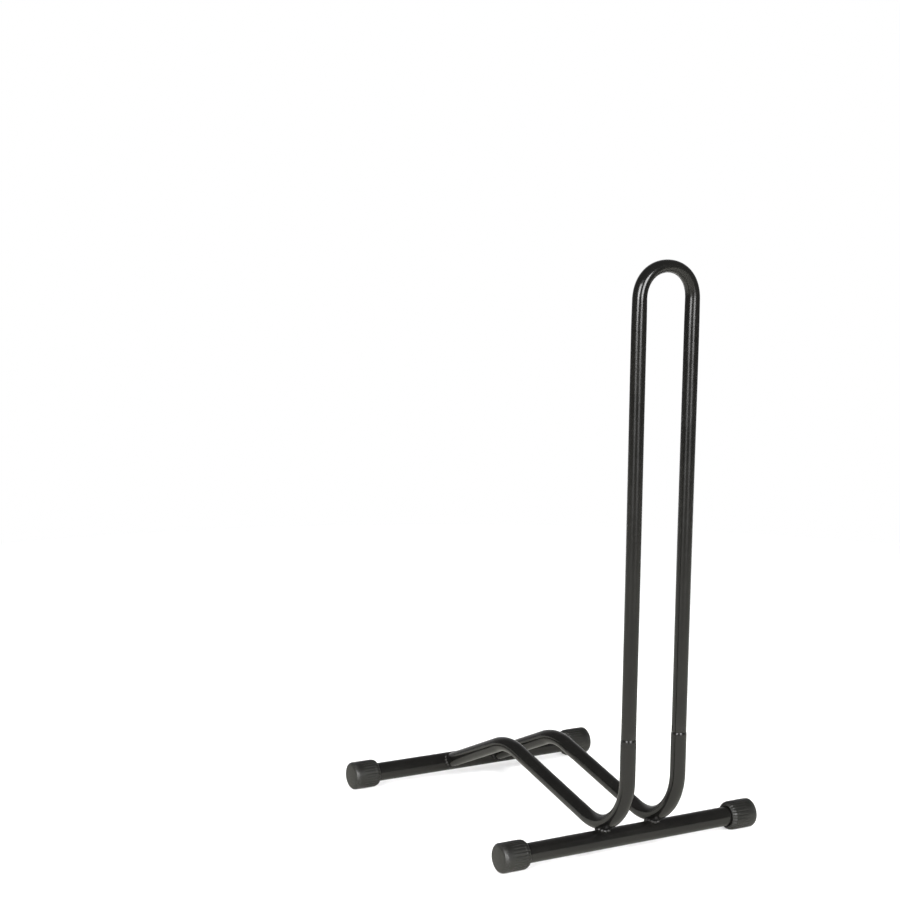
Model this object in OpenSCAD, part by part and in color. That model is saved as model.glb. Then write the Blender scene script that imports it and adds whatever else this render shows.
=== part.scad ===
// Floor stand for one bicycle wheel: two crossbars on rubber end caps, two bent side rails
// and a tall hoop whose legs plug into the upright ends of the rails.
// Millimetres, +Z up. The floor is z = 0 and the origin is under the middle of the stand.
// -Y is the front, where the hoop stands; the wheel rolls in over the rear crossbar.
// "left" is the -X side and "right" is the +X side.

/* [Crossbars] */
// Outside diameter of the crossbars
bar_d = 25.4; // [22:0.1:28]
// Wall thickness of the crossbars
bar_wall = 1.5; // [1:0.1:3]
// Distance between the axes of the two crossbars
bar_spacing = 390; // [340:5:440]
// Width of the stand over its end caps
stand_w = 396; // [340:2:460]

/* [End caps] */
// Outside diameter of the rubber end caps, on which the stand rests
cap_d = 38; // [35:0.5:42]
// Length of an end cap
cap_len = 40; // [34:1:50]
// Thickness of the closed end of a cap
cap_end = 6; // [4:0.5:10]

/* [Side rails] */
// Outside diameter of the rails
rail_d = 20; // [19:0.5:20.5]
// Wall thickness of the rails
rail_wall = 1.4; // [1.2:0.1:1.8]
// Distance between the centre planes of the two rails
rail_pitch = 78; // [70:1:90]
// Distance from the front crossbar forward to the upright ends of the rails
leg_ahead = 49; // [44:1:54]
// Centreline radius of the front bend
front_bend_r = 71; // [66:1:76]
// Downward slope of the rail from its hump to the front bend, in degrees
rail_slope = 13.9; // [12:0.1:16]
// Distance from the rear crossbar forward to the corner of the hump
hump_ahead = 157; // [150:1:165]
// Centreline radius of the hump bend
hump_bend_r = 80; // [60:5:100]
// Depth of the saddle notch by which a rail sits on the front crossbar
notch = 1.2; // [0.6:0.1:1.2]
// Height of the open upper ends of the rails
seam_z = 163; // [150:1:180]

/* [Hoop] */
// Outside diameter of the hoop's tube
hoop_d = 19; // [18.6:0.1:20]
// Wall thickness of the hoop's tube
hoop_wall = 1.4; // [1.2:0.1:1.8]
// Height of the top of the hoop
hoop_top = 760; // [600:1:900]
// Length of the spigots that plug into the rails
spigot_len = 46; // [40:1:50]
// Radial clearance between a spigot and its rail
spigot_gap = 0.075; // [0.05:0.005:0.1]

/* [Hidden] */
$fn = 72;

steel = [0.09, 0.09, 0.1];
rubber = [0.2, 0.2, 0.2];
weld_metal = [0.14, 0.14, 0.15];

bar_r = bar_d / 2;
bar_len = stand_w - 2 * cap_end;
cap_r = cap_d / 2;
rail_r = rail_d / 2;
rail_bore_r = rail_r - rail_wall;
rail_x = rail_pitch / 2;
hoop_r = hoop_d / 2;

// The crossbars' axes are as high as the caps' radius. Front and rear ends are equally far
// from the origin: the front end is the uprights, the rear end is the rear caps.
bar_z = cap_r;
rear_y = (bar_spacing + leg_ahead + rail_r + cap_r) / 2 - cap_r;
front_y = rear_y - bar_spacing;
leg_y = front_y - leg_ahead;

// Front bend: tangent to the upright and resting in its notch on the front crossbar.
front_c_y = leg_y + front_bend_r;
front_c_reach = front_bend_r + rail_r + bar_r - notch;
front_c_z = bar_z + sqrt(front_c_reach ^ 2 - (front_c_y - front_y) ^ 2);

// Sloping run: starts at the front bend's tangent point and climbs back to the hump's corner.
slope_y = front_c_y + front_bend_r * sin(rail_slope);
slope_z = front_c_z - front_bend_r * cos(rail_slope);
corner_y = rear_y - hump_ahead;
corner_z = slope_z + (corner_y - slope_y) * tan(rail_slope);

// Hump bend between the sloping run and the rear run, which drops to the rear crossbar.
rear_slope = atan2(corner_z - bar_z, rear_y - corner_y);
hump_run = hump_bend_r * tan((rail_slope + rear_slope) / 2);
hump_front = [corner_y - hump_run * cos(rail_slope), corner_z - hump_run * sin(rail_slope)];
hump_rear = [corner_y + hump_run * cos(rear_slope), corner_z - hump_run * sin(rear_slope)];
hump_c = [hump_front[0] + hump_bend_r * sin(rail_slope), hump_front[1] - hump_bend_r * cos(rail_slope)];

// Bending draws the tube in slightly; each straight run laps a little way into its bends.
bend_draw = 0.05;
lap = 1;

// Hoop: a half circle on two straight legs.
hoop_bend_z = hoop_top - rail_x - hoop_r;
spigot_r = rail_bore_r - spigot_gap;
spigot_wall = 1.3;
spigot_chamfer = 1.5;
shoulder_len = 3;

// Edge roundings
rim_round = 0.9;
shoulder_round = 0.5;
cap_end_round = 5;
cap_mouth_round = 3.2;
cap_mouth_gap = 1.4;
cap_mouth_depth = 3;

// Weld beads
front_weld_r = 2.6;
front_weld_ring = 6.8;
rear_weld_r = 3.2;
rear_weld_ring = rail_r + 0.9;
rear_weld_sink = 2;
weld_fn = 240;

// ---- helpers: everything in a rail lies in one upright plane, given as [y, z] points ----

// Round bar from p to q
module run(p, q, r) {
    d = q - p;
    translate([0, p[0], p[1]])
        rotate([atan2(d[1], d[0]) - 90, 0, 0])
            cylinder(r = r, h = norm(d));
}

// Bent round bar: an arc about centre c from angle a to angle b, measured from +Y towards +Z
module bend(c, radius, a, b, r) {
    translate([0, c[0], c[1]])
        rotate([90, 0, 90])
            rotate([0, 0, a])
                rotate_extrude(angle = b - a)
                    translate([radius, 0])
                        circle(r);
}

// The two bends of a rail, each a solid bar for a tube of radius r
module hump_bend(r) {
    bend(hump_c, hump_bend_r, 90 - rear_slope, 90 + rail_slope, r - bend_draw);
}

module front_bend(r) {
    bend([front_c_y, front_c_z], front_bend_r, 180, 270 + rail_slope, r - bend_draw);
}

// The straight run from the rear crossbar up to the hump
module rear_run(r) {
    run([rear_y, bar_z], hump_rear + lap * [-cos(rear_slope), sin(rear_slope)], r);
}

// Whole route of a rail as a solid bar of radius r, its upright ending at height top
module rail_route(r, top) {
    slope_way = [cos(rail_slope), sin(rail_slope)];
    rear_run(r);
    hump_bend(r);
    run([slope_y, slope_z] - lap * slope_way, hump_front + lap * slope_way, r);
    front_bend(r);
    run([leg_y, front_c_z - lap], [leg_y, top], r);
}

// Solid round bar along X on the axis of a crossbar
module bar_solid(y, len) {
    translate([-len / 2, y, bar_z])
        rotate([0, 90, 0])
            cylinder(r = bar_r, h = len);
}

// Half profile of a disc of radius r and height h, with its lower and upper edges rounded
module round_profile(r, h, low, high) {
    square([r - max(low, high), h]);
    translate([0, low])
        square([r, h - low - high]);
    square([r - low, low]);
    translate([r - low, low])
        circle(low);
    translate([0, h - high])
        square([r - high, high]);
    translate([r - high, h - high])
        circle(high);
}

// ---- sub-parts ----

module crossbar(y) {
    color(steel)
        difference() {
            bar_solid(y, bar_len);
            translate([-bar_len / 2 - 1, y, bar_z])
                rotate([0, 90, 0])
                    cylinder(r = bar_r - bar_wall, h = bar_len + 2);
        }
}

module rail(side) {
    color(steel)
        translate([side * rail_x, 0, 0])
            difference() {
                rail_route(rail_r, seam_z);
                rail_route(rail_bore_r, seam_z + 1);
                bar_solid(front_y, 4 * rail_d);
                bar_solid(rear_y, 4 * rail_d);
                // rounded outer rim of the socket
                translate([0, leg_y, seam_z - rim_round])
                    rotate_extrude()
                        translate([rail_r - rim_round, 0])
                            difference() {
                                square([2 * rim_round, 2 * rim_round]);
                                circle(rim_round);
                            }
            }
}

module hoop_leg(side) {
    translate([side * rail_x, leg_y, 0]) {
        // full-size tube above its rounded shoulder
        translate([0, 0, seam_z])
            rotate_extrude()
                difference() {
                    union() {
                        translate([0, shoulder_round])
                            square([hoop_r, hoop_bend_z - seam_z - shoulder_round]);
                        square([hoop_r - shoulder_round, shoulder_round]);
                        translate([hoop_r - shoulder_round, shoulder_round])
                            circle(shoulder_round);
                    }
                    translate([0, shoulder_len])
                        square([hoop_r - hoop_wall, hoop_bend_z]);
                    translate([0, -1])
                        square([spigot_r - spigot_wall, shoulder_len + 2]);
                }
        // spigot with a lead-in chamfer
        translate([0, 0, seam_z - spigot_len])
            rotate_extrude()
                polygon([
                    [spigot_r - spigot_wall, 0],
                    [spigot_r - spigot_chamfer / 2, 0],
                    [spigot_r, spigot_chamfer],
                    [spigot_r, spigot_len],
                    [spigot_r - spigot_wall, spigot_len]
                ]);
    }
}

module hoop() {
    color(steel) {
        hoop_leg(-1);
        hoop_leg(1);
        translate([0, leg_y, hoop_bend_z])
            rotate([90, 0, 0])
                rotate_extrude(angle = 180)
                    translate([rail_x, 0])
                        difference() {
                            circle(hoop_r);
                            circle(hoop_r - hoop_wall);
                        }
    }
}

// Rubber cap on one end of a crossbar; side is -1 for the left end and 1 for the right end
module end_cap(side, y) {
    color(rubber)
        translate([side * stand_w / 2, y, bar_z])
            rotate([0, -side * 90, 0])
                rotate_extrude()
                    difference() {
                        round_profile(cap_r, cap_len, cap_end_round, cap_mouth_round);
                        // the crossbar's end
                        translate([0, cap_end])
                            square([bar_r, cap_len]);
                        // wider lip round the mouth
                        translate([0, cap_len - cap_mouth_depth])
                            square([bar_r + cap_mouth_gap, cap_mouth_depth + 1]);
                        // the profile stays on one side of its axis
                        translate([-cap_r, -1])
                            square([cap_r, cap_len + 2]);
                    }
}

// Weld bead round the saddle where a rail crosses the front crossbar
module front_weld(side) {
    $fn = weld_fn;
    lean = atan2(front_c_y - front_y, front_c_z - bar_z);
    color(weld_metal)
        translate([side * rail_x, 0, 0])
            difference() {
                translate([0, front_y, bar_z])
                    rotate([-lean, 0, 0])
                        translate([0, 0, bar_r])
                            rotate_extrude()
                                translate([front_weld_ring, 0])
                                    circle(front_weld_r);
                bar_solid(front_y, 4 * rail_d);
                front_bend(rail_r);
            }
}

// Weld bead round the coped end of a rail on the rear crossbar
module rear_weld(side) {
    color(weld_metal)
        translate([side * rail_x, 0, 0])
            difference() {
                translate([0, rear_y, bar_z])
                    rotate([90 - rear_slope, 0, 0])
                        translate([0, 0, bar_r - rear_weld_sink])
                            rotate_extrude()
                                translate([rear_weld_ring, 0])
                                    circle(rear_weld_r);
                bar_solid(rear_y, 4 * rail_d);
                rear_run(rail_r);
            }
}

crossbar(front_y);  // front_crossbar
crossbar(rear_y);  // rear_crossbar
rail(-1);  // left_rail
rail(1);  // right_rail
hoop();
end_cap(-1, front_y);  // front_left_cap
end_cap(1, front_y);  // front_right_cap
end_cap(-1, rear_y);  // rear_left_cap
end_cap(1, rear_y);  // rear_right_cap
front_weld(-1);  // front_left_weld
front_weld(1);  // front_right_weld
rear_weld(-1);  // rear_left_weld
rear_weld(1);  // rear_right_weld
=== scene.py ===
"""Looks of the bicycle floor stand: meshes, materials, floor, lights and camera, in metres."""
import math

import bmesh
import bpy
from mathutils import Matrix, Vector, noise


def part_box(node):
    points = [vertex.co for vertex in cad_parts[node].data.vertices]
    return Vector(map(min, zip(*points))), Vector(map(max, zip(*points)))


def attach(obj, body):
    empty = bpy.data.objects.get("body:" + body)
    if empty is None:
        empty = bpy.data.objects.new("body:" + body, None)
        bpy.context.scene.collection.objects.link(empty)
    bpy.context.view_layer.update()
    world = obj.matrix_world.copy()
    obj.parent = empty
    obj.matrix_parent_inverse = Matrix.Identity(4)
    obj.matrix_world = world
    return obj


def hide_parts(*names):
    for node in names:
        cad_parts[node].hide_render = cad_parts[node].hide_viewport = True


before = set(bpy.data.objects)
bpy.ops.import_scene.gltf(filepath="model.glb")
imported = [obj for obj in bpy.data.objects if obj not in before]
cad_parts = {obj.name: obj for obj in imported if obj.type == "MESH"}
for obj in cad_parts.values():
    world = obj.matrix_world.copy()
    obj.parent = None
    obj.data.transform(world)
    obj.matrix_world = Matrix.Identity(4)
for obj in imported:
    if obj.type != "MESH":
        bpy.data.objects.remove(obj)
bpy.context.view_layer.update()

MM = 0.001


# ---------------------------------------------------------------- sizes, read from the CAD nodes
def span(node, axis):
    """Lowest and highest coordinate of a CAD node along an axis."""
    low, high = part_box(node)
    return low[axis], high[axis]


def middle(node, axis):
    low, high = span(node, axis)
    return (low + high) / 2


BAR_HALF = span("front_crossbar", 0)[1]
BAR_R = (span("front_crossbar", 2)[1] - span("front_crossbar", 2)[0]) / 2
BAR_Z = middle("front_crossbar", 2)
FRONT_Y = middle("front_crossbar", 1)
REAR_Y = middle("rear_crossbar", 1)
RAIL_X = middle("right_rail", 0)
RAIL_R = (span("right_rail", 0)[1] - span("right_rail", 0)[0]) / 2
SEAM_Z = span("right_rail", 2)[1]
LEG_Y = middle("hoop", 1)
HOOP_R = (span("hoop", 1)[1] - span("hoop", 1)[0]) / 2
HOOP_TOP = span("hoop", 2)[1]
SPIGOT_END_Z = span("hoop", 2)[0]
CAP_R = (span("front_right_cap", 2)[1] - span("front_right_cap", 2)[0]) / 2
CAP_LEN = span("front_right_cap", 0)[1] - span("front_right_cap", 0)[0]
STAND_HALF = span("front_right_cap", 0)[1]

# sizes that the boxes don't show, as in the CAD source
BAR_WALL = 1.5 * MM
TUBE_WALL = 1.4 * MM
FRONT_BEND_R = 71 * MM
RAIL_SLOPE = math.radians(13.9)
HUMP_AHEAD = 157 * MM
HUMP_BEND_R = 80 * MM
NOTCH = 1.2 * MM
SPIGOT_R = 8.525 * MM
SPIGOT_WALL = 1.3 * MM
SPIGOT_CHAMFER = 1.5 * MM
SPIGOT_FLOOR = 3 * MM
CAP_END = 6 * MM

X = Vector((1, 0, 0))
Y = Vector((0, 1, 0))
Z = Vector((0, 0, 1))

# points round a tube, and the fold from which an edge is drawn sharp
TUBE_POINTS = 96
FOLD = math.radians(40)


# ---------------------------------------------------------------- mesh helpers
def smoothstep(a, b, v):
    t = min(1.0, max(0.0, (v - a) / (b - a)))
    return t * t * (3 - 2 * t)


def ring(centre, u, v, a, b, count=TUBE_POINTS):
    """Ellipse of points about centre with half axes a along u and b along v."""
    points = []
    for i in range(count):
        t = 2 * math.pi * i / count
        points.append(centre + u * (a * math.cos(t)) + v * (b * math.sin(t)))
    return points


def build(name, verts, faces, wear, sharp):
    """Mesh object with outward normals, smooth faces and sharp edges where the surface folds."""
    me = bpy.data.meshes.new(name)
    me.from_pydata([tuple(p) for p in verts], [], faces)
    bm = bmesh.new()
    bm.from_mesh(me)
    bmesh.ops.recalc_face_normals(bm, faces=bm.faces)
    for f in bm.faces:
        f.smooth = True
    for e in bm.edges:
        if len(e.link_faces) == 2 and e.calc_face_angle(0) > sharp:
            e.smooth = False
    bm.to_mesh(me)
    bm.free()
    layer = me.attributes.new("wear", "FLOAT", "POINT")
    layer.data.foreach_set("value", wear)
    me.validate()
    obj = bpy.data.objects.new(name, me)
    bpy.context.scene.collection.objects.link(obj)
    return obj


def loft(name, rings, wear=None, loop=True, sharp=FOLD):
    """Closed skin through rings of equal count. With loop the last ring joins the first, and
    otherwise the first and last rings are drawn to a point at their middle."""
    count = len(rings[0])
    verts = [p for r in rings for p in r]
    values = [w for w in (wear or [0.0] * len(rings)) for _ in range(count)]
    faces = []
    pairs = len(rings) if loop else len(rings) - 1
    for k in range(pairs):
        a = k * count
        b = (k + 1) % len(rings) * count
        for i in range(count):
            j = (i + 1) % count
            faces.append((a + i, a + j, b + j, b + i))
    if not loop:
        for k in (0, len(rings) - 1):
            pole = len(verts)
            verts.append(sum(rings[k], Vector()) / count)
            values.append(values[k * count])
            for i in range(count):
                faces.append((k * count + i, k * count + (i + 1) % count, pole))
    return build(name, verts, faces, values, sharp)


def quarter(count):
    """Sine and cosine pairs from 0 to a right angle."""
    angles = [math.pi / 2 * k / count for k in range(count + 1)]
    return [(math.sin(a), math.cos(a)) for a in angles]


# ---------------------------------------------------------------- crossbars
def crossbar(name, y):
    """Straight tube with its ends inside the caps."""
    steps = 24
    rings = []
    for k in range(steps + 1):
        x = -BAR_HALF + 2 * BAR_HALF * k / steps
        rings.append(ring(Vector((x, y, BAR_Z)), Y, Z, BAR_R, BAR_R))
    for x in (BAR_HALF, -BAR_HALF):
        rings.append(ring(Vector((x, y, BAR_Z)), Y, Z, BAR_R - BAR_WALL, BAR_R - BAR_WALL))
    return loft(name, rings)


# ---------------------------------------------------------------- side rails
FRONT_C_Y = LEG_Y + FRONT_BEND_R
FRONT_REACH = FRONT_BEND_R + RAIL_R + BAR_R - NOTCH
FRONT_C_Z = BAR_Z + math.sqrt(FRONT_REACH ** 2 - (FRONT_C_Y - FRONT_Y) ** 2)
SLOPE_Y = FRONT_C_Y + FRONT_BEND_R * math.sin(RAIL_SLOPE)
SLOPE_Z = FRONT_C_Z - FRONT_BEND_R * math.cos(RAIL_SLOPE)
CORNER_Y = REAR_Y - HUMP_AHEAD
CORNER_Z = SLOPE_Z + (CORNER_Y - SLOPE_Y) * math.tan(RAIL_SLOPE)
REAR_SLOPE = math.atan2(CORNER_Z - BAR_Z, REAR_Y - CORNER_Y)
HUMP_RUN = HUMP_BEND_R * math.tan((RAIL_SLOPE + REAR_SLOPE) / 2)


def rail_route():
    """Stations from the rear crossbar to the open upper end: y, z, direction angle, bend share."""
    step = 8 * MM
    turn = math.radians(2)
    fade = 0.25
    stations = []

    def straight(y0, z0, angle, length):
        n = max(1, round(length / step))
        for k in range(n + 1):
            s = length * k / n
            stations.append([y0 + s * math.cos(angle), z0 + s * math.sin(angle), angle, 0.0])
        return stations[-1][0], stations[-1][1]

    def bend(y0, z0, angle, swing, radius):
        """Turns from direction angle by swing, which is negative where the tube turns down."""
        n = max(2, round(abs(swing) / turn))
        way = math.copysign(1, swing)
        cy = y0 - way * radius * math.sin(angle)
        cz = z0 + way * radius * math.cos(angle)
        for k in range(1, n):
            a = angle + swing * k / n
            share = smoothstep(0, fade, k / n) * smoothstep(0, fade, 1 - k / n)
            stations.append([cy + way * radius * math.sin(a), cz - way * radius * math.cos(a), a, share])
        a = angle + swing
        return cy + way * radius * math.sin(a), cz - way * radius * math.cos(a)

    up = math.pi - REAR_SLOPE
    run = math.hypot(REAR_Y - CORNER_Y, CORNER_Z - BAR_Z) - HUMP_RUN
    y, z = straight(REAR_Y, BAR_Z, up, run)
    down = math.pi + RAIL_SLOPE
    y, z = bend(y, z, up, down - up, HUMP_BEND_R)
    y, z = straight(y, z, down, math.hypot(y - SLOPE_Y, z - SLOPE_Z))
    y, z = bend(y, z, down, math.pi / 2 - down, FRONT_BEND_R)
    straight(y, z, math.pi / 2, SEAM_Z - z)
    return stations


def rail(name, x):
    """Bent tube, coped onto the rear crossbar, saddled onto the front one and open at the top."""
    inner_r = RAIL_R - TUBE_WALL
    clear = 2 * MM

    # the open end: a short cone inwards, a rounded rim and a small inner lip, rubbed by the spigot
    cone = 2.1 * MM
    cone_in = 0.62 * MM
    cone_start = 0.5 * MM
    cone_start_in = 0.04 * MM
    rim = 0.45 * MM
    rim_wear = 0.1
    lip = 0.2 * MM
    lip_wear = 0.4

    # the bends: how much flatter, and the share of that by which they are wider
    flat = 0.03
    spread = 0.3
    route = rail_route()

    def frame_at(s):
        y, z, angle, share = s
        along = Vector((0, math.cos(angle), math.sin(angle)))
        return Vector((x, y, z)), X.cross(along), along, share

    def circle(s, r):
        centre, normal, _, share = frame_at(s)
        return ring(centre, X, normal, r * (1 + spread * flat * share), r * (1 - flat * share))

    def coped(r):
        """The tube's rear edge, cut to lie on the rear crossbar."""
        centre, normal, along, _ = frame_at(route[0])
        out = []
        for p in ring(centre, X, normal, r, r):
            off = (p - centre).dot(normal)
            out.append(p + along * math.sqrt(BAR_R ** 2 - off ** 2))
        return out

    body = [s for s in route if math.hypot(s[0] - REAR_Y, s[1] - BAR_Z) > BAR_R + clear]
    outer = [coped(RAIL_R)] + [circle(s, RAIL_R) for s in body[:-1]]
    wear = [0.0] * len(outer)
    top_y, _, top_angle, _ = body[-1]

    def end_circle(z, r):
        return circle([top_y, z, top_angle, 0.0], r)

    outer.append(end_circle(SEAM_Z - (rim + cone + cone_start), RAIL_R))
    outer.append(end_circle(SEAM_Z - (rim + cone), RAIL_R - cone_start_in))
    wear += [0.0, 0.0]
    for sn, cs in quarter(6):
        outer.append(end_circle(SEAM_Z - rim + rim * sn, RAIL_R - cone_in - rim + rim * cs))
        wear.append(rim_wear)
    for sn, cs in quarter(3):
        outer.append(end_circle(SEAM_Z - lip + lip * cs, inner_r + lip - lip * sn))
        wear.append(lip_wear)
    inner = [circle(s, inner_r) for s in reversed(body[:-1])] + [coped(inner_r)]
    wear += [0.0] * len(inner)

    # the saddle: the rail's underside lies on the front crossbar
    axis = Vector((0, FRONT_Y, BAR_Z))
    for one in outer:
        for p in one:
            d = Vector((0, p.y, p.z)) - axis
            if d.length < BAR_R:
                q = axis + d.normalized() * BAR_R
                p.y, p.z = q.y, q.z
    return loft(name, outer + inner, wear)


# ---------------------------------------------------------------- hoop
def hoop(name):
    """One tube: spigot, leg, crown drawn flat by bending, leg, spigot.

    The bent tube has sprung open a little, so the legs stand slightly further apart at the crown.
    The bend is tighter at its middle than at its shoulders.
    """
    squeeze = 3.0 * MM
    bulge = 0.25 * MM
    draw_in = 40 * MM
    spring = 0.9 * MM
    spring_from = 330 * MM
    shoulders = 0.7 * MM
    top_inside = 0.3 * MM
    crown_r = RAIL_X + spring
    crown_z = HOOP_TOP - top_inside - (HOOP_R - squeeze / 2) - crown_r
    wall_r = HOOP_R - TUBE_WALL
    bore_r = SPIGOT_R - SPIGOT_WALL
    step_round = 0.5 * MM
    step = 12 * MM
    spigot_steps = 8
    crown_steps = 60

    # rubbed most at the spigot's tip, and less up to the rounded step above it
    tip_wear = 1.0
    chamfer_wear = 0.9
    spigot_wear = 0.45
    root_wear = 0.3
    step_wear = 0.15

    def section(centre, away, s, r):
        """Tube section at a length s above the bend's first end, flattened along away."""
        share = smoothstep(-draw_in, math.pi / 2 * crown_r, s)
        return ring(centre, away, Y, r - squeeze / 2 * share, r + bulge * share)

    def level(side, z, r):
        x = RAIL_X + spring * smoothstep(spring_from, crown_z, z)
        return section(Vector((side * x, LEG_Y, z)), X * side, z - crown_z, r)

    def crown(angle, r):
        """Section at an angle from the right leg round to the left one."""
        away = Vector((math.cos(angle), 0, math.sin(angle)))
        centre = Vector((0, LEG_Y, crown_z)) + away * (crown_r + shoulders * math.sin(2 * angle) ** 2)
        return section(centre, away, min(angle, math.pi - angle) * crown_r, r)

    def leg(side):
        """Outer rings from the spigot's tip up to the crown, with their wear."""
        tip = SPIGOT_END_Z
        rings = [level(side, tip, SPIGOT_R - SPIGOT_CHAMFER / 2)]
        rings.append(level(side, tip + SPIGOT_CHAMFER, SPIGOT_R))
        wear = [tip_wear, chamfer_wear]
        for k in range(1, spigot_steps):
            z = tip + SPIGOT_CHAMFER + (SEAM_Z - tip - SPIGOT_CHAMFER) * k / spigot_steps
            rings.append(level(side, z, SPIGOT_R))
            wear.append(spigot_wear)
        rings.append(level(side, SEAM_Z, SPIGOT_R))
        wear.append(root_wear)
        for sn, cs in quarter(5):
            z = SEAM_Z + step_round * (1 - cs)
            rings.append(level(side, z, HOOP_R - step_round * (1 - sn)))
            wear.append(step_wear)
        n = round((crown_z - SEAM_Z) / step)
        for k in range(1, n + 1):
            z = SEAM_Z + step_round + (crown_z - SEAM_Z - step_round) * k / n
            rings.append(level(side, z, HOOP_R))
            wear.append(0.0)
        return rings, wear

    def bore(side):
        """Inner rings from the crown down to the spigot's tip."""
        return [
            level(side, crown_z, wall_r),
            level(side, SEAM_Z + SPIGOT_FLOOR, wall_r),
            level(side, SEAM_Z + SPIGOT_FLOOR, bore_r),
            level(side, SPIGOT_END_Z, bore_r),
        ]

    angles = [math.pi * k / crown_steps for k in range(1, crown_steps)]
    right, right_wear = leg(1)
    left, left_wear = leg(-1)
    outer = right + [crown(a, HOOP_R) for a in angles] + left[::-1]
    wear = right_wear + [0.0] * len(angles) + left_wear[::-1]
    inner = bore(-1)[::-1] + [crown(a, wall_r) for a in reversed(angles)] + bore(1)
    wear += [0.0] * len(inner)
    return loft(name, outer + inner, wear)


# ---------------------------------------------------------------- rubber end caps
FLUTES = 24
FLUTE_POINTS = 12

# the rounded end, the rounded mouth, and the rounded lip of the recess in the mouth
END_ROUND = 5 * MM
MOUTH_LONG = 7 * MM
MOUTH_AT = CAP_LEN - MOUTH_LONG
LIP_IN = BAR_R + 1.4 * MM
LIP_ROUND = 0.5 * MM
MOUTH_R = LIP_IN + LIP_ROUND


def cap_profile():
    """Stations along a cap from its domed end to the bar's end inside: distance from the closed
    end, radius and flute depth."""
    flat_r = CAP_R - END_ROUND
    dome = 0.5 * MM
    dome_steps = 8
    side_steps = 44
    mouth_deep = 4.3 * MM
    recess = 3 * MM
    flute_from = 12 * MM
    flute_full = 17 * MM
    flute_deep = 0.62 * MM
    flute_deepen = 0.06 * MM
    groove_at = MOUTH_AT - 1.2 * MM
    groove_half = 0.9 * MM
    groove_deep = 0.28 * MM

    profile = []
    for k in range(1, dome_steps + 1):
        r = flat_r * k / dome_steps
        profile.append((dome * (r / flat_r) ** 2, r, 0.0))
    for sn, cs in quarter(10)[1:]:
        profile.append((dome + (END_ROUND - dome) * (1 - cs), flat_r + END_ROUND * sn, 0.0))
    for k in range(1, side_steps + 1):
        s = END_ROUND + (MOUTH_AT - END_ROUND) * k / side_steps
        dip = groove_deep * max(0.0, 1 - abs(s - groove_at) / groove_half)
        profile.append((s, CAP_R - dip, flute_deep * smoothstep(flute_from, flute_full, s)))
    for k, (sn, cs) in enumerate(quarter(7)[1:]):
        r = CAP_R - mouth_deep + mouth_deep * cs
        profile.append((MOUTH_AT + MOUTH_LONG * sn, r, flute_deep + flute_deepen * k))
    profile.append((CAP_LEN, MOUTH_R, 0.0))
    for sn, cs in quarter(3)[1:]:
        profile.append((CAP_LEN - LIP_ROUND + LIP_ROUND * cs, MOUTH_R - LIP_ROUND * sn, 0.0))
    profile.append((CAP_LEN - recess, LIP_IN, 0.0))
    profile.append((CAP_LEN - recess, BAR_R, 0.0))
    profile.append((CAP_END, BAR_R, 0.0))
    profile.append((CAP_END, BAR_R / 2, 0.0))
    return profile


def cap(name, side, y, seed):
    """Moulded cap: domed end, rounded rim, lengthwise flutes, a groove and a recessed mouth."""
    count = FLUTES * FLUTE_POINTS

    # a flute's half width as a share of the pitch, and how square its section is
    flute_half = 0.2
    flute_power = 0.8

    # uneven moulding: height, and how quickly it changes round the cap and along it
    swell_by = 0.05 * MM
    swell_round = 2
    swell_along = 60
    shift = 7.1 * seed

    # paler at the rounded end and at the mouth's edge: rubbed wear, and partly a painted highlight on
    # these rims
    end_pale_from = CAP_R - 4 * MM
    end_pale_full = CAP_R - 2 * MM
    end_pale_length = 9 * MM
    end_wear_and_highlight = 0.8
    mouth_pale_from = (MOUTH_AT + CAP_LEN) / 2
    mouth_wear_and_highlight = 0.5

    rings = []
    wear = []
    for s, r, depth in cap_profile():
        one = []
        for i in range(count):
            t = 2 * math.pi * i / count
            phase = (i % FLUTE_POINTS) / FLUTE_POINTS
            near = min(phase, 1 - phase)
            cut = depth * max(0.0, 1 - near / flute_half) ** flute_power
            swell = 0.0
            if r > LIP_IN and s > END_ROUND:
                spot = (shift + swell_round * math.cos(t), swell_round * math.sin(t), s * swell_along)
                swell = swell_by * noise.noise(Vector(spot))
            # the flutes run out at the mouth's edge
            radius = max(r - cut + swell, min(r, MOUTH_R))
            x = side * (STAND_HALF - s)
            one.append(Vector((x, y + radius * math.cos(t), BAR_Z + radius * math.sin(t))))
        rings.append(one)
        # the pale rims are rubbed wear, and partly a painted highlight on the rounded end and the
        # mouth's edge
        end = smoothstep(end_pale_from, end_pale_full, r)
        end *= 1 - smoothstep(END_ROUND, end_pale_length, s)
        mouth = smoothstep(mouth_pale_from, CAP_LEN, s) if r > LIP_IN else 0.0
        wear.append(min(1.0, end_wear_and_highlight * end + mouth_wear_and_highlight * mouth))
    return loft(name, rings, wear, loop=False, sharp=math.radians(50))


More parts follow.
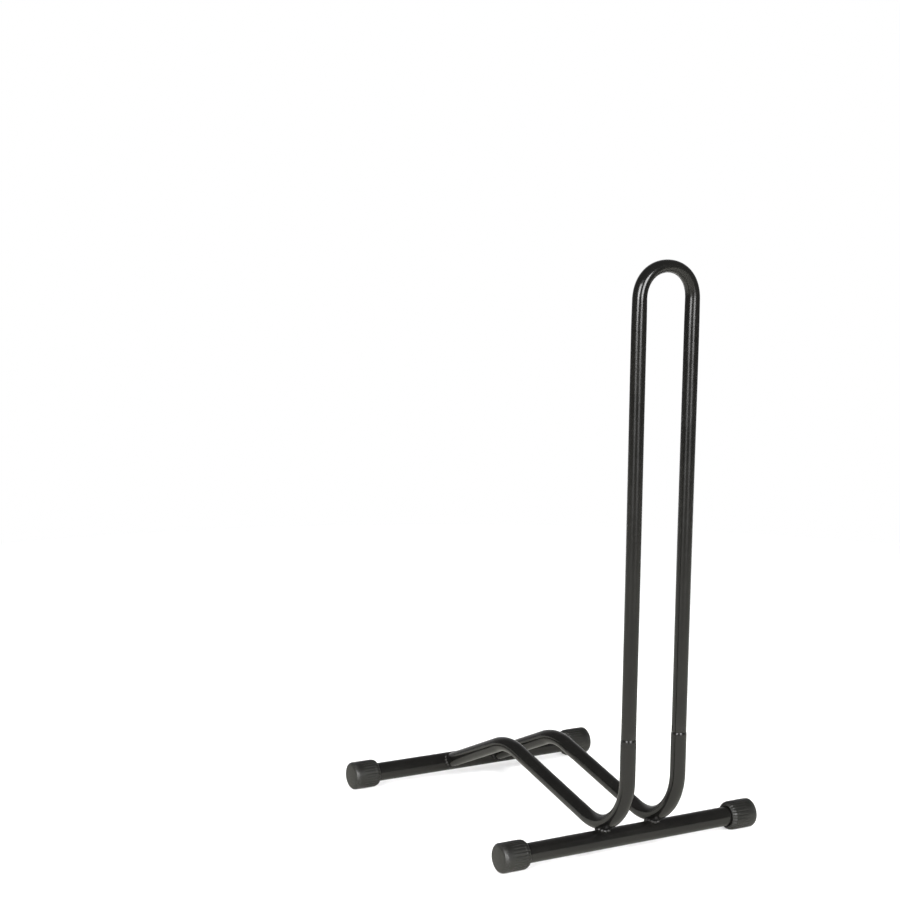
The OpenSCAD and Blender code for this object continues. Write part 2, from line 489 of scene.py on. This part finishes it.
# ---------------------------------------------------------------- weld beads
def bead(name, path, normals, radii, pitch, seed):
    """Closed bead along a loop of points: overlapping scales with creases between, and uneven."""
    around = 18

    # scales, as shares of the radius: their height, how they curve across the bead, mean height
    scales = 0.5
    scale_curve = 0.6
    scale_mean = 0.64

    # lumps, as shares of the radius, and how quickly they change round the joint
    lumps = 0.4
    lump_round = 3.2
    shift = 3.7 * seed

    n = len(path)
    lengths = [0.0]
    for i in range(n):
        lengths.append(lengths[-1] + (path[(i + 1) % n] - path[i]).length)
    ripples = max(1, round(lengths[-1] / pitch))
    rings = []
    for i in range(n):
        along = (path[(i + 1) % n] - path[i - 1]).normalized()
        out = (normals[i] - along * normals[i].dot(along)).normalized()
        across = along.cross(out)
        share = lengths[i] / lengths[-1]
        turn = 2 * math.pi * share
        spot = (shift + lump_round * math.cos(turn), lump_round * math.sin(turn), seed)
        lump = 1 + lumps * noise.noise(Vector(spot))
        one = []
        for k in range(around):
            t = 2 * math.pi * k / around
            wave = abs(math.sin(math.pi * ripples * share + scale_curve * math.cos(t)))
            r = radii[i] * lump * (1 + scales * (wave - scale_mean))
            one.append(path[i] + out * (r * math.cos(t)) + across * (r * math.sin(t)))
        rings.append(one)
    return loft(name, rings, sharp=math.radians(75))


def front_weld(name, x, seed):
    """Bead in the crevice between the rail's underside and the front crossbar."""
    bead_r = 2.6 * MM
    pitch = 4.3 * MM
    n = 150

    # the bead lies where the crevice is this high, and reaches further out in front
    crevice = 1.7 * MM
    crevice_more = 1.6 * MM

    # where it is looked for, from the joint's middle; beside the rail it stays under the rail
    search_from = 2 * MM
    search_to = 11.5 * MM
    search_to_beside = RAIL_R - 0.3 * MM
    beside = 0.7
    halvings = 30

    lean = math.atan2(FRONT_C_Y - FRONT_Y, FRONT_C_Z - BAR_Z)
    up = Vector((0, math.sin(lean), math.cos(lean)))
    along = Vector((0, math.cos(lean), -math.sin(lean)))
    base = Vector((x, FRONT_Y, BAR_Z))
    points = []
    outs = []
    for i in range(n):
        t = 2 * math.pi * i / n
        want = crevice + crevice_more * smoothstep(0, 1, -math.sin(t))
        low = search_from
        high = search_to_beside if abs(math.cos(t)) > beside else search_to
        for _ in range(halvings):
            r = (low + high) / 2
            p = r * math.cos(t)
            q = r * math.sin(t)
            bar_h = math.sqrt(BAR_R ** 2 - q ** 2)
            reach = FRONT_BEND_R + math.sqrt(max(0.0, RAIL_R ** 2 - p ** 2))
            rail_h = FRONT_REACH - math.sqrt(reach ** 2 - q ** 2)
            if rail_h - bar_h > want:
                high = r
            else:
                low = r
        points.append(base + X * p + along * q + up * ((rail_h + bar_h) / 2))
        outs.append(X * math.cos(t) + along * math.sin(t))
    return bead(name, points, outs, [bead_r] * n, pitch, seed)


def rear_weld(name, x, seed):
    """Bead round the rail's coped end on the rear crossbar, full at the rail's sides and thin over
    its top and bottom."""
    pitch = 4.1 * MM
    thin_out = 0.2 * MM
    full_out = 1.3 * MM
    thin_r = 1.2 * MM
    full_r = 2.6 * MM
    lean = 0.6
    n = 190
    run = Vector((0, -math.cos(REAR_SLOPE), math.sin(REAR_SLOPE)))
    normal = X.cross(run)
    base = Vector((x, REAR_Y, BAR_Z))
    points = []
    outs = []
    radii = []
    for i in range(n):
        t = 2 * math.pi * i / n
        side = math.cos(t) ** 2
        out_by = thin_out + (full_out - thin_out) * side
        radii.append(thin_r + (full_r - thin_r) * side)
        away = X * math.cos(t) + normal * math.sin(t)
        off = (RAIL_R + out_by) * math.sin(t)
        h = math.sqrt((BAR_R + out_by) ** 2 - off ** 2)
        points.append(base + away * (RAIL_R + out_by) + run * h)
        outs.append((away + run * lean).normalized())
    return bead(name, points, outs, radii, pitch, seed)


# ---------------------------------------------------------------- materials
def new_material(name):
    mat = bpy.data.materials.new(name)
    mat.use_nodes = True
    tree = mat.node_tree
    return mat, tree, tree.nodes["Principled BSDF"]


def add(tree, kind, **values):
    node = tree.nodes.new(kind)
    for key, value in values.items():
        setattr(node, key, value)
    return node


def noise_node(tree, coords, scale, detail, rough, stretch=None):
    """Noise with about scale cells a metre; stretch scales the three axes first."""
    if stretch:
        mapping = add(tree, "ShaderNodeMapping")
        mapping.inputs["Scale"].default_value = stretch
        tree.links.new(coords, mapping.inputs["Vector"])
        coords = mapping.outputs["Vector"]
    node = add(tree, "ShaderNodeTexNoise")
    node.inputs["Scale"].default_value = scale
    node.inputs["Detail"].default_value = detail
    node.inputs["Roughness"].default_value = rough
    tree.links.new(coords, node.inputs["Vector"])
    return node.outputs["Fac"]


def ranged(tree, value, low, high, to_low, to_high):
    node = add(tree, "ShaderNodeMapRange")
    node.inputs["From Min"].default_value = low
    node.inputs["From Max"].default_value = high
    node.inputs["To Min"].default_value = to_low
    node.inputs["To Max"].default_value = to_high
    tree.links.new(value, node.inputs["Value"])
    return node.outputs["Result"]


def mixed(tree, factor, a, b):
    """Colour a where factor is 0 and b where it is 1; a and b are colours or sockets."""
    node = add(tree, "ShaderNodeMix", data_type="RGBA")
    tree.links.new(factor, node.inputs["Factor"])
    for socket, value in ((node.inputs[6], a), (node.inputs[7], b)):
        if isinstance(value, tuple):
            socket.default_value = (*value, 1)
        else:
            tree.links.new(value, socket)
    return node.outputs[2]


def maths(tree, operation, a, b):
    node = add(tree, "ShaderNodeMath", operation=operation, use_clamp=True)
    tree.links.new(a, node.inputs[0])
    tree.links.new(b, node.inputs[1])
    return node.outputs[0]


def bumped(tree, shader, layers):
    """Chain of bumps, each (height, strength, distance in metres)."""
    normal = None
    for height, strength, distance in layers:
        node = add(tree, "ShaderNodeBump")
        node.inputs["Strength"].default_value = strength
        node.inputs["Distance"].default_value = distance
        tree.links.new(height, node.inputs["Height"])
        if normal:
            tree.links.new(normal, node.inputs["Normal"])
        normal = node.outputs["Normal"]
    tree.links.new(normal, shader.inputs["Normal"])


def coat_material(name, dark, light, rough, relief):
    """Satin black powder coat on steel: orange peel, faint mottling, worn bright at rubbed rims.

    Rough is its lowest and highest roughness and relief the strength of the orange peel.
    """
    dust = (0.03, 0.029, 0.028)
    bare = (0.11, 0.106, 0.1)
    sparkle = 0.02
    peel_deep = 0.06 * MM
    grain_deep = 0.02 * MM
    mat, tree, shader = new_material(name)
    coords = add(tree, "ShaderNodeTexCoord").outputs["Object"]
    broad = noise_node(tree, coords, 9, 4, 0.55)
    fine = noise_node(tree, coords, 160, 4, 0.6)
    peel = noise_node(tree, coords, 620, 2, 0.5)
    grain = noise_node(tree, coords, 2600, 2, 0.6)
    scuff = noise_node(tree, coords, 34, 5, 0.7)
    worn = add(tree, "ShaderNodeAttribute", attribute_name="wear").outputs["Fac"]

    tone = mixed(tree, ranged(tree, broad, 0.35, 0.65, 0, 1), dark, light)
    tone = mixed(tree, ranged(tree, fine, 0.58, 0.78, 0, 0.3), tone, dust)
    rubbed = maths(tree, "MULTIPLY", worn, ranged(tree, fine, 0.46, 0.62, 0, 0.6))
    tone = mixed(tree, rubbed, tone, bare)
    tree.links.new(tone, shader.inputs["Base Color"])

    scuffed = ranged(tree, scuff, 0.35, 0.65, *rough)
    scuffed = maths(tree, "ADD", scuffed, ranged(tree, grain, 0.3, 0.7, -sparkle, sparkle))
    tree.links.new(scuffed, shader.inputs["Roughness"])
    shader.inputs["IOR"].default_value = 1.5
    bumped(tree, shader, [(peel, relief, peel_deep), (grain, relief / 2, grain_deep)])
    return mat


def rubber_material(name):
    """Matt dark grey moulded rubber: fine grain, faint flow marks, paler where it is rubbed, and on the
    caps' rims partly a painted highlight.
    """
    dark = (0.0078, 0.0078, 0.0068)
    light = (0.0142, 0.0142, 0.0124)
    flow_mark = (0.024, 0.024, 0.0215)
    pale_wear_and_highlight = (0.05, 0.049, 0.048)
    rough = (0.33, 0.47)
    fine_deep = 0.10 * MM
    grain_deep = 0.04 * MM

    # the flow marks are drawn out along the cap
    flow_stretch = (0.25, 1.6, 1.6)
    mat, tree, shader = new_material(name)
    coords = add(tree, "ShaderNodeTexCoord").outputs["Object"]
    broad = noise_node(tree, coords, 55, 4, 0.6)
    fine = noise_node(tree, coords, 420, 3, 0.6)
    grain = noise_node(tree, coords, 2200, 3, 0.65)
    flow = noise_node(tree, coords, 60, 4, 0.6, flow_stretch)
    worn = add(tree, "ShaderNodeAttribute", attribute_name="wear").outputs["Fac"]

    tone = mixed(tree, ranged(tree, broad, 0.35, 0.65, 0, 1), dark, light)
    tone = mixed(tree, ranged(tree, flow, 0.5, 0.75, 0, 0.5), tone, flow_mark)
    # paler where the wear attribute says: rubbed wear, and on the caps' rims partly a painted highlight
    rubbed = maths(tree, "MULTIPLY", worn, ranged(tree, fine, 0.42, 0.62, 0.1, 0.8))
    tone = mixed(tree, rubbed, tone, pale_wear_and_highlight)
    tree.links.new(tone, shader.inputs["Base Color"])

    tree.links.new(ranged(tree, fine, 0.3, 0.7, *rough), shader.inputs["Roughness"])
    shader.inputs["IOR"].default_value = 1.5
    bumped(tree, shader, [(fine, 0.3, fine_deep), (grain, 0.35, grain_deep)])
    return mat


COAT_DARK = (0.0053, 0.0052, 0.0048)
COAT_LIGHT = (0.0088, 0.0085, 0.0076)
WELD_DARK = (0.0068, 0.0066, 0.006)
WELD_LIGHT = (0.014, 0.0135, 0.0125)
COAT = coat_material("coated_steel_black", COAT_DARK, COAT_LIGHT, rough=(0.16, 0.23), relief=0.2)
WELD = coat_material("weld_bead_black", WELD_DARK, WELD_LIGHT, rough=(0.15, 0.24), relief=0.8)
RUBBER = rubber_material("cap_rubber_grey")


# ---------------------------------------------------------------- the pieces, each on its body
def place(obj, material, body, node):
    obj.data.materials.append(material)
    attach(obj, body)
    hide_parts(node)


place(crossbar("front_crossbar_tube", FRONT_Y), COAT, "base", "front_crossbar")
place(crossbar("rear_crossbar_tube", REAR_Y), COAT, "base", "rear_crossbar")
place(rail("left_rail_tube", -RAIL_X), COAT, "base", "left_rail")
place(rail("right_rail_tube", RAIL_X), COAT, "base", "right_rail")
place(hoop("hoop_tube"), COAT, "hoop", "hoop")
SIDES = (("left", -1), ("right", 1))
ENDS = (("front", FRONT_Y, front_weld), ("rear", REAR_Y, rear_weld))
for e, (end, y, weld) in enumerate(ENDS):
    for s, (hand, side) in enumerate(SIDES):
        seed = 2 * e + s + 1
        node = f"{end}_{hand}_cap"
        place(cap(node + "_rubber", side, y, seed), RUBBER, "base", node)
        node = f"{end}_{hand}_weld"
        place(weld(node + "_bead", side * RAIL_X, seed), WELD, "base", node)


# ---------------------------------------------------------------- floor and light
def to_camera(tree, seen, unseen):
    """Shader seen directly by the camera, and the other one for light and reflections."""
    mix = add(tree, "ShaderNodeMixShader")
    path = add(tree, "ShaderNodeLightPath")
    tree.links.new(path.outputs["Is Camera Ray"], mix.inputs[0])
    tree.links.new(unseen, mix.inputs[1])
    tree.links.new(seen, mix.inputs[2])
    return mix.outputs[0]


def dotted(tree, coords, direction):
    """Dot product of the coordinates with a fixed direction."""
    node = add(tree, "ShaderNodeVectorMath", operation="DOT_PRODUCT")
    node.inputs[1].default_value = direction
    tree.links.new(coords, node.inputs[0])
    return node.outputs["Value"]


WHITE = (1, 1, 1, 1)


def floor():
    """Level white floor. Far from the stand it goes over into the same white as the backdrop."""
    half = 12.0
    grey = (0.62, 0.62, 0.62)
    paler = (0.64, 0.64, 0.64)
    lift = 0.3

    # distances from the stand between which it turns white
    white_from = 0.7
    white_to = 2.2

    # its reflected shades: towards the room, under the stand and towards the backdrop, with the
    # distances behind the stand, along away, between which one goes over into the next
    away = (0.51, 0.86, 0.0)
    room_shade = (0.10, 0.098, 0.09)
    room_to_stand = (-2.0, -0.4)
    stand_shade = (0.365, 0.36, 0.328)
    stand_to_backdrop = (0.5, 1.3)
    backdrop_shade = (0.5, 0.5, 0.5)

    me = bpy.data.meshes.new("studio_floor")
    corners = [(-half, -half, 0), (half, -half, 0), (half, half, 0), (-half, half, 0)]
    me.from_pydata(corners, [], [(0, 1, 2, 3)])
    obj = bpy.data.objects.new("studio_floor", me)
    bpy.context.scene.collection.objects.link(obj)
    mat, tree, seen = new_material("studio_white")
    coords = add(tree, "ShaderNodeTexCoord").outputs["Object"]
    soft = noise_node(tree, coords, 1.5, 3, 0.5)
    tone = mixed(tree, ranged(tree, soft, 0.3, 0.7, 0, 1), grey, paler)
    tree.links.new(tone, seen.inputs["Base Color"])
    seen.inputs["Roughness"].default_value = 0.75
    seen.inputs["Specular IOR Level"].default_value = 0.1
    seen.inputs["Emission Color"].default_value = WHITE
    seen.inputs["Emission Strength"].default_value = lift
    distance = add(tree, "ShaderNodeVectorMath", operation="LENGTH")
    tree.links.new(coords, distance.inputs[0])
    glow = add(tree, "ShaderNodeEmission")
    glow.inputs["Color"].default_value = WHITE
    glow.inputs["Strength"].default_value = 1.0
    fade = add(tree, "ShaderNodeMixShader")
    tree.links.new(ranged(tree, distance.outputs["Value"], white_from, white_to, 0, 1), fade.inputs[0])
    tree.links.new(seen.outputs[0], fade.inputs[1])
    tree.links.new(glow.outputs[0], fade.inputs[2])

    # what the stand reflects: the floor darkens towards the room in front of it
    behind = dotted(tree, coords, away)
    lit = add(tree, "ShaderNodeBsdfDiffuse")
    shade = mixed(tree, ranged(tree, behind, *room_to_stand, 0, 1), room_shade, stand_shade)
    shade = mixed(tree, ranged(tree, behind, *stand_to_backdrop, 0, 1), shade, backdrop_shade)
    tree.links.new(shade, lit.inputs["Color"])
    out = tree.nodes["Material Output"]
    tree.links.new(to_camera(tree, fade.outputs[0], lit.outputs[0]), out.inputs["Surface"])
    me.materials.append(mat)
    return obj


def softbox(name, azimuth, distance, height, width, tall, power, aim=(0, -0.1, 0.35)):
    """Soft rectangular light on a stand. Azimuth as in the camera's views, height of its middle."""
    a = math.radians(azimuth)
    obj = bpy.data.objects.new(name, bpy.data.lights.new(name, "AREA"))
    obj.data.shape = "RECTANGLE"
    obj.data.size = width
    obj.data.size_y = tall
    obj.data.energy = power
    obj.location = (math.sin(a) * distance, -math.cos(a) * distance, height)
    obj.rotation_euler = (obj.location - Vector(aim)).to_track_quat("Z", "Y").to_euler()
    bpy.context.scene.collection.objects.link(obj)
    return obj


stage_floor = floor()

# an upright softbox on each side of the camera, with a dim strip of spilled light below it:
# azimuth, power of the softbox and of the spill
UPRIGHT = (("left", -59, 106, 1.7), ("right", -3, 104, 2.0))
for hand, azimuth, power, spill in UPRIGHT:
    softbox("softbox_" + hand, azimuth, distance=3.0, height=1.35, width=1.2, tall=1.8, power=power)
    softbox("spill_" + hand, azimuth, distance=2.9, height=0.24, width=1.1, tall=0.44, power=spill)

# two overhead softboxes that light only the floor: azimuth, distance and power
only_floor = bpy.data.collections.new("lit_by_floor_softboxes")
only_floor.objects.link(stage_floor)
OVERHEAD = (("floor_softbox", -30, 0.3, 60), ("floor_softbox_back", 150, 2.2, 90))
for name, azimuth, distance, power in OVERHEAD:
    light = softbox(name, azimuth, distance, height=3.0, width=3.0, tall=3.0, power=power, aim=(0, 0, 0))
    light.light_linking.receiver_collection = only_floor


def studio_world():
    """White to the camera. To reflections a dim room, with a brighter backdrop behind the stand."""
    backdrop = (0.498, 0.84, -0.22)
    room_grey = (0.12, 0.12, 0.12)
    backdrop_grey = (0.6, 0.6, 0.6)

    # a direction's dot product with backdrop where the backdrop begins, and where it is at its full
    edge_to_full = (0.55, 0.95)
    world = bpy.data.worlds.new("studio_world")
    world.use_nodes = True
    tree = world.node_tree
    room = tree.nodes["Background"]
    coords = add(tree, "ShaderNodeTexCoord").outputs["Generated"]
    share = ranged(tree, dotted(tree, coords, backdrop), *edge_to_full, 0, 1)
    tree.links.new(mixed(tree, share, room_grey, backdrop_grey), room.inputs["Color"])
    white = add(tree, "ShaderNodeBackground")
    white.inputs["Color"].default_value = WHITE
    out = tree.nodes["World Output"]
    tree.links.new(to_camera(tree, white.outputs[0], room.outputs[0]), out.inputs["Surface"])
    bpy.context.scene.world = world


studio_world()
bpy.context.scene.view_settings.view_transform = "Standard"


# ---------------------------------------------------------------- camera, at the photo's viewpoint
CAMERA_AT = Vector((-1.5230, -2.2808, 0.8870))
CAMERA_RIGHT = Vector((0.86115, -0.50816, 0.01370))
CAMERA_UP = Vector((0.06052, 0.12925, 0.98976))
SENSOR_MM = 36
LENS_MM = 83.42
SEE_TO = 40

camera = bpy.data.cameras.new("camera")
camera.sensor_width = SENSOR_MM
camera.lens = LENS_MM
camera.clip_end = SEE_TO
eye = bpy.data.objects.new("camera", camera)
back = CAMERA_RIGHT.cross(CAMERA_UP).normalized()
pose = Matrix((CAMERA_RIGHT, back.cross(CAMERA_RIGHT), back)).transposed().to_4x4()
pose.translation = CAMERA_AT
eye.matrix_world = pose
bpy.context.scene.collection.objects.link(eye)
bpy.context.scene.camera = eye
